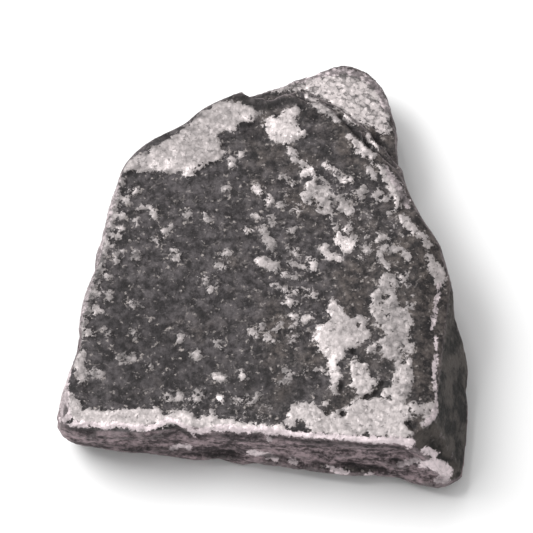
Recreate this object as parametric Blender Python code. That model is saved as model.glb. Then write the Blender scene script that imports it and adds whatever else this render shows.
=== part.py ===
"""One tumbled chip of metallic slate, lying on its flatter cleavage face.

Slate is a stack of thin layers, so the chip is drawn as one: a plan of straight breaks and worn corners,
repeated layer by layer with small ledges between. Worn facets are cut off the right-hand side, and flakes
are split off the top and the underside along the layers.

Metres, +Z up. The origin is on the surface that the chip lies on, under the middle of its bounding box.
+X is the chip's right-hand side, -Y its thick broken front edge and +Y its pointed back.
"""

import math

import bmesh
import bpy
from mathutils import Matrix, Vector, geometry, noise

MM = 0.001

# The plan in millimetres, anticlockwise from the front left corner: the points where its edge turns.
PLAN = (
    (-17.3, -16.5), (-12.4, -17.5), (-4.0, -17.5), (4.0, -18.1), (10.4, -18.8), (14.4, -19.6),
    (16.5, -19.0), (17.3, -16.7), (17.5, -12.0), (17.2, -7.6), (16.3, -5.2), (15.8, -2.2), (14.7, 0.9),
    (12.2, 6.0), (11.2, 10.0), (10.9, 14.2), (9.9, 17.4), (7.5, 19.4), (4.5, 18.9),
    (0.1, 16.8), (-5.9, 14.2), (-9.4, 11.7), (-12.4, 8.9), (-13.8, 4.0), (-15.9, -5.5), (-17.1, -12.5),
)
PLAN_SPACING = 1.05 * MM
NORMAL_EASE = 4

# The chip is a wedge: it is thickest along its right-hand side.
THICKNESS = 7.2 * MM
LEFT_SHARE = 0.80

# The layers from the underside up: thickness, how far the edge stands back, and how ragged it is.
LAYERS_MM = (
    (1.0, 0.45, 0.45),
    (0.8, 0.10, 0.34),
    (1.4, 0.55, 0.30),
    (0.7, 0.30, 0.26),
    (1.5, 0.45, 0.22),
    (1.8, 0.00, 0.16),
)
LEDGE_HALF = 0.12 * MM
LEDGE_FADE = 9.0 * MM
LEDGE_WANDER_MM = (8.0, 0.34)
TOP_WEAR = 0.75 * MM
UNDERSIDE_WEAR = 0.50 * MM
WEAR_STEPS = 3

# Where the edge breaks back, or stands out if the depth is below zero: x, y, reach, depth, first and last layer.
BREAKS_MM = (
    (-16.0, -16.8, 5.5, 1.4, 0, 1),
    (-11.0, -17.5, 5.0, -0.35, 2, 2),
    (5.0, -18.0, 5.5, -0.75, 1, 1),
    (15.6, -19.0, 2.6, -0.55, 0, 2),
    (12.0, -19.0, 2.2, 0.70, 3, 5),
    (-6.5, -17.6, 1.6, 0.45, 5, 5),
    (2.0, -17.6, 1.3, 0.35, 5, 5),
    (-16.5, -9.5, 2.2, 0.55, 4, 5),
    (-14.3, 1.8, 2.6, -0.40, 2, 3),
    (-14.7, -1.0, 1.7, 0.40, 5, 5),
    (-11.5, 10.2, 4.5, 1.30, 0, 1),
    (-7.6, 13.0, 1.7, 0.50, 4, 5),
    (-3.0, 15.3, 3.0, 0.90, 0, 2),
    (6.0, 19.2, 5.0, 1.20, 0, 0),
    (11.0, 12.0, 3.0, 0.80, 1, 1),
    (13.5, 3.0, 3.5, 1.00, 0, 1),
    (16.0, -4.0, 2.4, 0.60, 2, 2),
    (17.5, -13.0, 5.0, 0.90, 0, 0),
)

# Worn facets on the right: a point on each in millimetres, its slope and the way it faces, in degrees.
FACETS = (
    ((13.0, -9.0, 7.2), 18, -2),
    ((15.1, -10.0, 6.45), 62, -5),
    ((14.3, -16.7, 6.4), 55, -38),
)

# Flakes split off the chip along its layers. Each has the border of the split in millimetres, a point on
# its floor, the floor's fall per millimetre of x and y, and how far its middle is dished.
BACK_LEDGE = dict(
    border=(
        (-4.2, 20.0), (-2.6, 15.9), (-1.6, 14.9), (-0.2, 14.5), (1.1, 15.0), (2.4, 15.9), (3.8, 15.5),
        (5.6, 14.4), (7.2, 13.1), (8.4, 12.2), (9.3, 11.0), (10.6, 9.6), (11.5, 8.2), (14.5, 6.4),
        (21.0, 8.0), (21.0, 24.0), (-4.0, 24.0),
    ),
    floor=(4.0, 14.5, 5.75),
    fall=(-0.05, -0.14),
    dish=-0.012,
)
BACK_LEDGE_STEP = dict(
    border=(
        (2.0, 20.0), (1.6, 15.2), (3.4, 14.6), (4.6, 14.3), (6.2, 12.9), (7.9, 11.6), (8.6, 10.2),
        (10.4, 8.6), (11.8, 6.6), (15.0, 5.2), (21.0, 8.0), (21.0, 20.0),
    ),
    floor=(7.0, 12.0, 6.55),
    fall=(-0.03, -0.03),
    dish=0.0,
)
BACK_RIM_SPLIT = dict(
    border=(
        (7.8, 22.0), (8.2, 17.4), (9.4, 15.9), (10.4, 13.6), (11.0, 11.6), (13.6, 10.4), (21.0, 12.0),
        (21.0, 22.0),
    ),
    floor=(9.6, 16.0, 4.55),
    fall=(-0.16, -0.10),
    dish=0.0,
)
DARK_FACE = dict(
    border=(
        (-12.4, 7.5), (-11.3, 8.2), (-10.3, 7.9), (-9.5, 7.2), (-7.9, 7.9), (-6.5, 7.5), (-5.4, 8.9), (-4.4, 9.3),
        (-4.0, 10.9), (-2.6, 11.4), (-1.6, 12.7), (0.1, 13.0), (0.5, 11.5), (1.7, 10.8), (2.7, 11.0), (3.8, 12.0),
        (3.5, 13.3), (5.2, 13.2), (7.0, 11.4), (8.5, 9.7), (7.6, 8.4), (7.9, 7.2), (6.2, 6.4), (5.4, 5.3),
        (6.9, 4.6), (8.2, 3.6), (8.9, 2.0), (7.7, 0.6), (8.2, -1.0), (9.8, -2.2), (9.4, -4.2), (8.9, -5.7),
        (7.2, -4.4), (5.8, -5.0), (4.8, -6.6), (4.3, -8.6), (5.6, -10.2), (6.2, -12.2), (5.3, -13.9),
        (3.4, -14.1), (2.2, -15.0), (0.8, -15.9), (-1.6, -15.1), (-3.6, -15.6), (-5.2, -15.0), (-7.4, -15.7),
        (-9.2, -14.8), (-11.4, -15.2), (-13.4, -14.4), (-15.2, -14.3), (-16.3, -11.8), (-21.0, -10.6),
        (-21.0, 6.9),
    ),
    floor=(0.0, 0.0, 7.0),
    fall=(0.0, 0.0),
    dish=0.0,
)
UNDERSIDE_STEP = dict(
    border=(
        (-24.0, 5.5), (-14.0, 6.2), (-9.5, 7.6), (-5.2, 7.1), (-1.4, 8.9), (3.0, 9.6), (6.6, 8.7),
        (11.0, 10.8), (24.0, 11.4), (24.0, 26.0), (-24.0, 26.0),
    ),
    floor=(0.0, 9.0, 0.55),
    fall=(0.0, 0.045),
    dish=0.0,
)
UNDERSIDE_FLAKE = dict(
    border=(
        (8.4, -24.0), (9.0, -16.6), (8.1, -13.0), (9.7, -9.6), (12.6, -7.5), (14.0, -3.5), (24.0, -2.0),
        (24.0, -24.0),
    ),
    floor=(10.5, -12.0, 0.45),
    fall=(0.05, 0.0),
    dish=0.0,
)
TOP_FLAKES = (DARK_FACE, BACK_LEDGE_STEP, BACK_LEDGE, BACK_RIM_SPLIT)
UNDERSIDE_FLAKES = (UNDERSIDE_STEP, UNDERSIDE_FLAKE)
FLAKE_REACH = 10 * MM
FLAKE_CELL = 5.2 * MM

# The borders are ragged: points this far apart, each up to so far to the side.
BORDER_SPACING = 0.85 * MM
BORDER_RAGGED = 0.42 * MM

# Bites struck out of the rim and small pits in the top: centre, radii and turn about Z in degrees.
BITES_MM = (
    ((-17.5, -14.6, 6.9), (0.9, 1.5, 0.9), 10),
    ((-9.6, -18.0, 7.3), (1.7, 0.9, 1.0), 4),
    ((7.6, -18.9, 7.2), (2.1, 0.9, 0.9), -6),
    ((-14.2, 6.0, 6.9), (0.9, 1.6, 0.8), -18),
    ((12.6, 5.3, 7.4), (1.1, 2.2, 1.0), -25),
    ((-10.8, 3.9, 7.20), (1.0, 0.6, 0.48), 20),
    ((-10.0, 4.6, 7.20), (0.5, 0.8, 0.42), -15),
)

# The split surfaces are cut into cells this wide, and each swell is a size and a height.
TOP_CELL = 1.2 * MM
UNDERSIDE_CELL = 6.5 * MM
SWELLS_MM = ((11.0, 0.30), (4.2, 0.12), (1.9, 0.055))
SIDE_WOBBLE_MM = ((7.0, 0.28), (2.4, 0.10))
SEED_STEP = 17.3


def clear_scene():
    """Starts from an empty scene."""
    for old in list(bpy.data.objects):
        bpy.data.objects.remove(old)


def wobble(point, size, seed):
    """Smooth noise from -1 to 1 whose bumps are about size across."""
    return noise.noise(Vector(point) / size + Vector((seed, -seed, 0.5 * seed)) * SEED_STEP)


def plan_curve():
    """The plan as points PLAN_SPACING apart on a smooth closed curve through its corners."""
    corners = [Vector(corner) * MM for corner in PLAN]
    count = len(corners)
    dense = []
    for i, start in enumerate(corners):
        before, end, after = corners[i - 1], corners[(i + 1) % count], corners[(i + 2) % count]
        leaving, arriving = start + (end - before) / 6, end - (after - start) / 6
        dense += geometry.interpolate_bezier(start, leaving, arriving, end, 24)[:-1]
    return evenly_spaced(dense)


def evenly_spaced(dense):
    """Points at an even spacing along a closed run of closely spaced ones."""
    steps = [(dense[(i + 1) % len(dense)] - point).length for i, point in enumerate(dense)]
    length = sum(steps)
    count = round(length / PLAN_SPACING)
    even, walked, i = [], 0.0, 0
    for k in range(count):
        target = length * k / count
        while walked + steps[i] < target:
            walked += steps[i]
            i += 1
        share = (target - walked) / steps[i]
        even.append(dense[i].lerp(dense[(i + 1) % len(dense)], share))
    return even


def outward_normals(curve):
    """The way out of the chip at each point of its plan, eased round the corners so that insets don't fold."""
    count = len(curve)
    sharp = []
    for i in range(count):
        along = curve[(i + 1) % count] - curve[i - 1]
        sharp.append(Vector((along.y, -along.x)).normalized())
    eased = []
    for i in range(count):
        near = [sharp[(i + step) % count] for step in range(-NORMAL_EASE, NORMAL_EASE + 1)]
        eased.append(sum(near, Vector((0.0, 0.0))).normalized())
    return eased


def break_depth(point, layer):
    """How far the named breaks set the edge of this layer back at a point of the plan."""
    depth = 0.0
    for x, y, reach, deep, first, last in BREAKS_MM:
        if first <= layer <= last:
            away = (point - Vector((x, y)) * MM).length / (reach * MM)
            depth += deep * MM * math.exp(-away * away)
    return depth


def ledge_height(spot, height):
    """Lets a ledge rise and fall along the edge, but not on the underside or near the rim."""
    bottom, top = LAYERS_MM[0][0] * MM, THICKNESS - LAYERS_MM[-1][0] * MM
    inner = min(1.0, max(0.0, min(height - 0.5 * bottom, THICKNESS - height) / (0.5 * bottom)))
    size, rise = LEDGE_WANDER_MM
    return height + (inner if height < top + bottom else 0.0) * rise * MM * wobble(spot, size * MM, 31)


def layer_rings(layer):
    """The heights of one layer's rings and how much its worn edge adds to the inset there."""
    bottom = sum(row[0] for row in LAYERS_MM[:layer]) * MM
    top = bottom + LAYERS_MM[layer][0] * MM
    quarter = [math.pi / 2 * (step + 1) / WEAR_STEPS for step in range(WEAR_STEPS)]
    rings = []
    if layer == 0:
        for turn in reversed(quarter):
            worn = UNDERSIDE_WEAR * (1 - math.cos(turn))
            rings.append((UNDERSIDE_WEAR * (1 - math.sin(turn)), worn))
    else:
        rings.append((bottom + LEDGE_HALF, 0.0))
    if layer < len(LAYERS_MM) - 1:
        rings.append((top - LEDGE_HALF, 0.0))
    else:
        rings.append(((bottom + top - TOP_WEAR) / 2, 0.0))
        for turn in quarter:
            rings.append((top - TOP_WEAR * (1 - math.sin(turn)), TOP_WEAR * (1 - math.cos(turn))))
    return rings


def stacked_layers(curve, normals):
    """The whole stack as one closed mesh: an underside, rings up the edge, and a top."""
    bm = bmesh.new()
    rings = []
    for layer, (_, inset, ragged) in enumerate(LAYERS_MM):
        for height, worn in layer_rings(layer):
            ring = []
            for point, out in zip(curve, normals):
                spot = (point.x, point.y, 0.0)
                fade = 0.6 + 0.9 * wobble(spot, LEDGE_FADE, layer + 11)
                back = inset * fade * MM + worn + break_depth(point, layer)
                back += ragged * MM * wobble(spot, 2.6 * MM, layer + 1)
                back += 0.6 * ragged * MM * wobble(spot, 1.3 * MM, layer + 21)
                edge = point - out * back
                ring.append(bm.verts.new((edge.x, edge.y, ledge_height(spot, height))))
            rings.append(ring)
    for lower, upper in zip(rings, rings[1:]):
        for i, corner in enumerate(lower):
            j = (i + 1) % len(lower)
            bm.faces.new((corner, lower[j], upper[j], upper[i]))
    bm.faces.new(reversed(rings[0]))
    bm.faces.new(rings[-1])
    return bm


def cut_facet(bm, point, slope, facing):
    """Slices a worn facet off the chip and closes the cut."""
    tilt, turn = math.radians(slope), math.radians(facing)
    normal = Vector((math.sin(tilt) * math.cos(turn), math.sin(tilt) * math.sin(turn), math.cos(tilt)))
    parts = bm.verts[:] + bm.edges[:] + bm.faces[:]
    cut = bmesh.ops.bisect_plane(
        bm, geom=parts, dist=1e-7, plane_co=Vector(point) * MM, plane_no=normal, clear_outer=True
    )
    rim = [item for item in cut["geom_cut"] if isinstance(item, bmesh.types.BMEdge)]
    bmesh.ops.contextual_create(bm, geom=rim)


def cut_into_cells(bm, faces, cell):
    """Scores flat faces with a grid of cuts, so that they can swell and dip."""
    for axis in (Vector((1, 0, 0)), Vector((0, 1, 0))):
        places = [vert.co.dot(axis) for face in faces for vert in face.verts]
        start, end = min(places), max(places)
        for k in range(1, math.ceil((end - start) / cell)):
            edges = {edge for face in faces for edge in face.edges}
            verts = {vert for face in faces for vert in face.verts}
            cut = bmesh.ops.bisect_plane(
                bm,
                geom=list(verts) + list(edges) + list(faces),
                dist=1e-6,
                plane_co=axis * (start + k * cell),
                plane_no=axis,
            )
            faces = [item for item in cut["geom"] if isinstance(item, bmesh.types.BMFace)]


def new_object(name, bm, material=None):
    """Puts a finished bmesh in the scene as an object."""
    mesh = bpy.data.meshes.new(name)
    bm.to_mesh(mesh)
    bm.free()
    obj = bpy.data.objects.new(name, mesh)
    bpy.context.collection.objects.link(obj)
    if material:
        mesh.materials.append(material)
    return obj


def ragged_border(border):
    """The border of a split with more points along it, moved to the sides by noise where it crosses the chip."""
    corners = [Vector(corner) * MM for corner in border]
    ragged = []
    for i, start in enumerate(corners):
        end = corners[(i + 1) % len(corners)]
        far = max(abs(value) for corner in (start, end) for value in corner) > 20.5 * MM
        pieces = 1 if far else max(1, round((end - start).length / BORDER_SPACING))
        for k in range(pieces):
            point = start.lerp(end, k / pieces)
            spot = (point.x, point.y, 0.0)
            if not far:
                point.x += BORDER_RAGGED * wobble(spot, 1.1 * MM, 91)
                point.y += BORDER_RAGGED * wobble(spot, 1.1 * MM, 92)
            ragged.append(point)
    return ragged


def flake_cutter(name, flake, from_top):
    """A block with its floor along the layers: what it overlaps is the flake that split off."""
    bm = bmesh.new()
    side = 1 if from_top else -1
    corners = [bm.verts.new((point.x, point.y, 0.0)) for point in ragged_border(flake["border"])]
    cut_into_cells(bm, [bm.faces.new(corners)], FLAKE_CELL)
    x0, y0, z0 = (value * MM for value in flake["floor"])
    fall_x, fall_y = flake["fall"]
    for vert in bm.verts:
        dx, dy = vert.co.x - x0, vert.co.y - y0
        dished = flake["dish"] * (dx * dx + dy * dy) / MM
        vert.co.z = z0 + fall_x * dx + fall_y * dy + dished
    raised = bmesh.ops.extrude_face_region(bm, geom=bm.faces[:])
    for item in raised["geom"]:
        if isinstance(item, bmesh.types.BMVert):
            item.co.z = side * FLAKE_REACH
    bmesh.ops.triangulate(bm, faces=bm.faces)
    bmesh.ops.recalc_face_normals(bm, faces=bm.faces)
    return new_object(name, bm)


def bite_cutter(name, centre, radii, turn):
    """A small uneven lens-shaped cutter for a chip out of the rim or a pit."""
    bm = bmesh.new()
    bmesh.ops.create_icosphere(bm, subdivisions=2, radius=1.0)
    for vert in bm.verts:
        vert.co *= 1 + 0.35 * wobble(vert.co + Vector(centre), 0.9, 95)
    bm.transform(
        Matrix.Translation(Vector(centre) * MM)
        @ Matrix.Rotation(math.radians(turn), 4, "Z")
        @ Matrix.Diagonal((*(radius * MM for radius in radii), 1.0))
    )
    return new_object(name, bm)


def cut_away(chip, cutter):
    """Takes a cutter's shape out of the chip, and removes the cutter."""
    modifier = chip.modifiers.new(cutter.name, "BOOLEAN")
    modifier.operation = "DIFFERENCE"
    modifier.solver = "EXACT"
    modifier.object = cutter
    bpy.context.view_layer.objects.active = chip
    bpy.ops.object.modifier_apply(modifier=modifier.name)
    bpy.data.objects.remove(cutter)


def swell_and_wedge(bm):
    """Lets the split faces swell, roughens the broken edge, and thins the chip towards its left side."""
    left, right = PLAN[0][0] * MM, PLAN[8][0] * MM
    for vert in bm.verts:
        spot = vert.co.copy()
        height = min(1.0, max(0.0, spot.z / THICKNESS))
        lift = height * height
        side = 4 * height * (1 - height)
        for i, (size, rise) in enumerate(SWELLS_MM):
            vert.co.z += lift * rise * MM * wobble((spot.x, spot.y, 0.0), size * MM, 60 + i)
        for i, (size, reach) in enumerate(SIDE_WOBBLE_MM):
            vert.co.x += side * reach * MM * wobble(spot, size * MM, 70 + i)
            vert.co.y += side * reach * MM * wobble(spot, size * MM, 80 + i)
        across = (spot.x - left) / (right - left)
        vert.co.z *= LEFT_SHARE + (1 - LEFT_SHARE) * across


def centre_over_origin(bm):
    """Moves the chip so that the origin is under the middle of its box, at its lowest point."""
    lows = [min(vert.co[axis] for vert in bm.verts) for axis in range(3)]
    highs = [max(vert.co[axis] for vert in bm.verts) for axis in range(3)]
    middle = Vector(((lows[0] + highs[0]) / 2, (lows[1] + highs[1]) / 2, lows[2]))
    bmesh.ops.translate(bm, verts=bm.verts, vec=-middle)


def slate_material():
    """Dark slate with a grey metallic mica sheen."""
    material = bpy.data.materials.new("metallic_slate")
    material.use_nodes = True
    shader = material.node_tree.nodes["Principled BSDF"]
    shader.inputs["Base Color"].default_value = (0.22, 0.21, 0.22, 1.0)
    shader.inputs["Metallic"].default_value = 0.55
    shader.inputs["Roughness"].default_value = 0.45
    return material


def slate_chip():
    """The whole chip, as one solid."""
    curve = plan_curve()
    bm = stacked_layers(curve, outward_normals(curve))
    for point, slope, facing in FACETS:
        cut_facet(bm, point, slope, facing)
    chip = new_object("slate_chip", bm, slate_material())
    for i, flake in enumerate(TOP_FLAKES):
        cut_away(chip, flake_cutter(f"top_flake_{i}", flake, from_top=True))
    for i, flake in enumerate(UNDERSIDE_FLAKES):
        cut_away(chip, flake_cutter(f"underside_flake_{i}", flake, from_top=False))
    for i, (centre, radii, turn) in enumerate(BITES_MM):
        cut_away(chip, bite_cutter(f"bite_{i}", centre, radii, turn))
    finish_surface(chip)
    return chip


def finish_surface(chip):
    """Cuts the split faces into cells, shapes them, and leaves clean triangles."""
    bm = bmesh.new()
    bm.from_mesh(chip.data)
    bm.normal_update()
    cut_into_cells(bm, [face for face in bm.faces if face.normal.z > 0.93], TOP_CELL)
    bm.normal_update()
    cut_into_cells(bm, [face for face in bm.faces if face.normal.z < -0.93], UNDERSIDE_CELL)
    bmesh.ops.remove_doubles(bm, verts=bm.verts, dist=0.04 * MM)
    swell_and_wedge(bm)
    centre_over_origin(bm)
    bmesh.ops.triangulate(bm, faces=bm.faces)
    bm.to_mesh(chip.data)
    bm.free()
    chip.data.shade_smooth()
    chip.data.set_sharp_from_angle(angle=math.radians(32))


clear_scene()
slate_chip()
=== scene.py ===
# %% [markdown]
# # A tumbled chip of metallic slate
#
# Slate is mud that was pressed into thin layers. It splits along them, and the fresh faces carry a skin of
# mica, tiny flat crystals that shine like metal. Tumbling wears the skin away in places, so the chip shows
# dark matt stone, silver skin with ragged borders, pale worn rims and, on its broken front, the layers.
#
# The CAD chip has the outline, the ledges and the worn facets. This script gives it its surface: fine relief
# in the mesh, and one material that knows which part of the stone it is on.

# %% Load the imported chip
import math

import bpy
import numpy as np
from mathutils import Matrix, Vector


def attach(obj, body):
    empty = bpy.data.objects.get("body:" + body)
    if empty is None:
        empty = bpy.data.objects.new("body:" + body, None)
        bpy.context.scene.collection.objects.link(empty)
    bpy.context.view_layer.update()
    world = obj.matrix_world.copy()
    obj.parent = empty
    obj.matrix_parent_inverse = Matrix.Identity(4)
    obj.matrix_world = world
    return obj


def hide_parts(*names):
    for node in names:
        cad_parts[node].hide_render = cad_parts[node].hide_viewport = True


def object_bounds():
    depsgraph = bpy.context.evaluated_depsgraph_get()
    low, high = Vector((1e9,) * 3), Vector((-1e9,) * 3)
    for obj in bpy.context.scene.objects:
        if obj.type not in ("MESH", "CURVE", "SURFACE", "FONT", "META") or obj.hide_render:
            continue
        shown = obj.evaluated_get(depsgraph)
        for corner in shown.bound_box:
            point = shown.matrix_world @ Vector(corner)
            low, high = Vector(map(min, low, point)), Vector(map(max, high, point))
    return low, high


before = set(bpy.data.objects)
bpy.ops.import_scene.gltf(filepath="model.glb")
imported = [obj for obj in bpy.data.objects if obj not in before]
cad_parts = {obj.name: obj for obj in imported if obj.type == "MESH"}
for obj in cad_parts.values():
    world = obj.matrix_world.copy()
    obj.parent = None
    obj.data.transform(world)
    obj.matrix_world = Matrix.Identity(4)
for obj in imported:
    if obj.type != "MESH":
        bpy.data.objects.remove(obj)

MM = 0.001
cad_low, cad_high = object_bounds()
cad_size = cad_high - cad_low
middle = (cad_low + cad_high) / 2
print("chip in mm:", [round(value / MM, 2) for value in cad_size])

# %% [markdown]
# ## The camera
#
# The photo looks down at the stone from its front, about 63 degrees above the horizon, and the stone is a
# small part of a wide picture. So the camera stays some way off and a long lens crops to the stone, which
# keeps its proportions. A short lens up close would swell the front.

# %% Camera
LENS = 400
SENSOR = 36
VIEW_ELEVATION = math.radians(63)
VIEW_AZIMUTH = math.radians(1)
FILL = 0.86
CLIP_START = 0.01

towards_camera = Vector((
    math.sin(VIEW_AZIMUTH) * math.cos(VIEW_ELEVATION),
    -math.cos(VIEW_AZIMUTH) * math.cos(VIEW_ELEVATION),
    math.sin(VIEW_ELEVATION),
))
distance = max(cad_size.x, cad_size.y) / FILL * LENS / SENSOR
bpy.ops.object.camera_add(location=middle + towards_camera * distance)
camera = bpy.context.object
camera.name = "camera"
camera.rotation_euler = (-towards_camera).to_track_quat("-Z", "Y").to_euler()
camera.data.lens = LENS
camera.data.sensor_width = SENSOR
camera.data.clip_start = CLIP_START
bpy.context.scene.camera = camera
print("camera distance in mm:", round(distance / MM))

# %% [markdown]
# ## The light and the floor
#
# The photo is a product shot on white: light from all round, and more of it from the upper left. Mica acts as
# a mirror, so the lights are also what it reflects. A white world fills the shadows, one large soft lamp at
# the back left gives the relief its shade, and a small bright one makes the mica glint.

# %% Lights
WORLD_LIGHT = 0.60
WHITE = (1, 1, 1, 1)
LAMPS = {
    "window": {"place": (-0.26, 0.12, 0.28), "size": 0.26, "power": 1.9},
    "glint_lamp": {"place": (-0.10, 0.22, 0.30), "size": 0.05, "power": 0.16},
}

world = bpy.data.worlds.new("white_room")
bpy.context.scene.world = world
world.use_nodes = True
world.node_tree.nodes["Background"].inputs["Color"].default_value = WHITE
world.node_tree.nodes["Background"].inputs["Strength"].default_value = WORLD_LIGHT
for name, lamp in LAMPS.items():
    bpy.ops.object.light_add(type="AREA", location=Vector(lamp["place"]) + middle)
    light = bpy.context.object
    light.name = name
    light.data.size = lamp["size"]
    light.data.energy = lamp["power"]
    light.rotation_euler = Vector(lamp["place"]).to_track_quat("Z", "Y").to_euler()
bpy.context.scene.view_settings.view_transform = "Standard"
print("lamps:", ", ".join(LAMPS))

# %% Floor
FLOOR_SIZE = 2.0
PAPER = (0.90, 0.90, 0.90, 1)
PAPER_ROUGHNESS = 0.9

bpy.ops.mesh.primitive_plane_add(size=FLOOR_SIZE)
floor = bpy.context.object
floor.name = "floor"
paper = bpy.data.materials.new("white_paper")
paper.use_nodes = True
paper_shader = paper.node_tree.nodes["Principled BSDF"]
paper_shader.inputs["Base Color"].default_value = PAPER
paper_shader.inputs["Roughness"].default_value = PAPER_ROUGHNESS
paper_shader.inputs["Specular IOR Level"].default_value = 0.0
floor.data.materials.append(paper)
print("floor in metres:", FLOOR_SIZE)

# %% [markdown]
# ## Helpers for node trees
#
# The same noise has to shape the mesh and colour it, or the silver would not sit on the raised skin. Geometry
# Nodes and shaders share their maths and texture nodes, so these helpers work in both: each adds one node,
# wires what it is given, and hands back the socket with the result.


# %% Node helpers
NODES_IN_ROW = 8
NODE_GAP = (220, 260)


def add(tree, kind, inputs=None, **settings):
    """One node. Inputs are given by name or number, as a socket to wire in or as a value."""
    made = tree.nodes.new(kind)
    row, column = divmod(len(tree.nodes), NODES_IN_ROW)
    made.location = (column * NODE_GAP[0], -row * NODE_GAP[1])
    for name, value in settings.items():
        setattr(made, name, value)
    for key, value in (inputs or {}).items():
        if isinstance(value, bpy.types.NodeSocket):
            tree.links.new(value, made.inputs[key])
        else:
            made.inputs[key].default_value = value
    return made


def calc(tree, operation, *values, clamp=False):
    """Maths on numbers."""
    inputs = dict(enumerate(values))
    return add(tree, "ShaderNodeMath", inputs, operation=operation, use_clamp=clamp).outputs[0]


def plus_share(tree, base, value, share):
    """The base plus a share of the value."""
    return calc(tree, "MULTIPLY_ADD", value, share, base)


def centred(tree, noise):
    """Noise moved down so that its middle is at zero instead of 0.5."""
    return calc(tree, "SUBTRACT", noise, 0.5)


def vector_calc(tree, operation, inputs):
    """Maths on vectors. A dot product is a number, and everything else is a vector."""
    made = add(tree, "ShaderNodeVectorMath", inputs, operation=operation)
    return made.outputs["Value" if operation == "DOT_PRODUCT" else "Vector"]


def scaled(tree, vector, scale):
    """A vector made longer or shorter by a number that changes over the surface."""
    longer = vector_calc(tree, "SCALE", {0: vector})
    tree.links.new(scale, longer.node.inputs["Scale"])
    return longer


def part_of(tree, vector, axis):
    """One of the three numbers of a vector or a colour."""
    return add(tree, "ShaderNodeSeparateXYZ", {0: vector}).outputs[axis]


def in_mm(tree, place):
    """A place in metres, turned into millimetres."""
    return vector_calc(tree, "MULTIPLY", {0: place, 1: (1 / MM, 1 / MM, 1 / MM)})


def ease(tree, value, start, end, high=1.0):
    """Turns a value smoothly from zero to high as it goes from start to end."""
    inputs = {"Value": value, "From Min": start, "From Max": end, "To Max": high}
    return add(tree, "ShaderNodeMapRange", inputs, interpolation_type="SMOOTHSTEP").outputs["Result"]


def cloud(tree, place, per_mm, detail=2.0, roughness=0.5, warp=0.0):
    """Soft noise with a middle of 0.5. Its largest bumps are about 1 / per_mm millimetres across."""
    inputs = {"Vector": place, "Scale": per_mm, "Detail": detail, "Roughness": roughness, "Distortion": warp}
    return add(tree, "ShaderNodeTexNoise", inputs).outputs[0]


def cells(tree, place, per_mm):
    """Random cells about 1 / per_mm millimetres across: distance from the middle, and a colour for each."""
    made = add(tree, "ShaderNodeTexVoronoi", {"Vector": place, "Scale": per_mm})
    return made.outputs["Distance"], made.outputs["Color"]


def drifting(tree, place, per_mm, reach):
    """The place moved by noise, up to reach in millimetres, so that a pattern on it wanders."""
    inputs = {"Vector": place, "Scale": per_mm, "Detail": 3.0}
    noise = add(tree, "ShaderNodeTexNoise", inputs).outputs["Color"]
    drift = vector_calc(tree, "SUBTRACT", {0: noise, 1: (0.5, 0.5, 0.5)})
    return vector_calc(tree, "MULTIPLY_ADD", {0: drift, 1: (reach, reach, reach), 2: place})


# %% [markdown]
# ## The recipes for the slate's patterns
#
# Each pattern is written once, as a function that takes the place in millimetres.
#
# - Skin: where the mica is left. A bias says how much silver there should be, and noise tears its border.
#   Random cells of two sizes then break the border into islands, as flakes come off one by one.
# - Layer lines: noise squeezed along the height gives the thin even lines of the layers on a broken edge.
# - Grain: the uneven split face, with bumps of half a millimetre.
# - Scars: thin curved lines where a small flake came off. They are the walls between random cells.
# - Face masks: the slate has three kinds of face, and each has its own finish. The flat faces are where it
#   split, the facets are where it wore down, and all the rest is broken edge.


# %% Pattern recipes
LAYER_TILT = math.radians(1.2)
SHAPE_SHARE = 0.35
TORN_SHARE = 0.8
FLAKES = ((2.2, 0.28), (4.4, 0.20))
THICK_SHARE = 0.65
SCAR_CELLS = 0.75
FLAT_RANGE = (0.55, 0.85)
FACET_RANGE = (0.90, 0.97)


def skin_pattern(tree, place, bias):
    """Above 0.5 there is skin. The bias is the share of silver wanted there."""
    shape = centred(tree, cloud(tree, place, 0.42, detail=5.0, roughness=0.62, warp=0.4))
    torn = centred(tree, cloud(tree, place, 2.2, detail=6.0, roughness=0.75))
    total = plus_share(tree, bias, shape, SHAPE_SHARE)
    total = plus_share(tree, total, torn, TORN_SHARE)
    wandering = drifting(tree, place, per_mm=1.6, reach=0.22)
    for per_mm, share in FLAKES:
        _, flake = cells(tree, wandering, per_mm)
        total = plus_share(tree, total, centred(tree, part_of(tree, flake, 0)), share)
    return total


def layered(tree, place, along, across):
    """The place turned to lie with the layers, then scaled along them and across them."""
    inputs = {"Vector": place, "Angle": LAYER_TILT}
    turned = add(tree, "ShaderNodeVectorRotate", inputs, rotation_type="Y_AXIS").outputs[0]
    return vector_calc(tree, "MULTIPLY", {0: turned, 1: (along, along, across)})


def layer_pattern(tree, place):
    """The lines of the layers on a broken edge, from 0 to 1, bending a little."""
    thick = cloud(tree, layered(tree, place, 0.16, 1.5), 1.0, detail=3.0, roughness=0.55, warp=0.3)
    thin = cloud(tree, layered(tree, place, 0.35, 5.0), 1.0, detail=4.0, roughness=0.65)
    return plus_share(tree, calc(tree, "MULTIPLY", thick, THICK_SHARE), thin, 1 - THICK_SHARE)


def grain_pattern(tree, place):
    """The uneven split face, from 0 to 1."""
    return cloud(tree, place, 1.7, detail=4.0, roughness=0.68)


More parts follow.
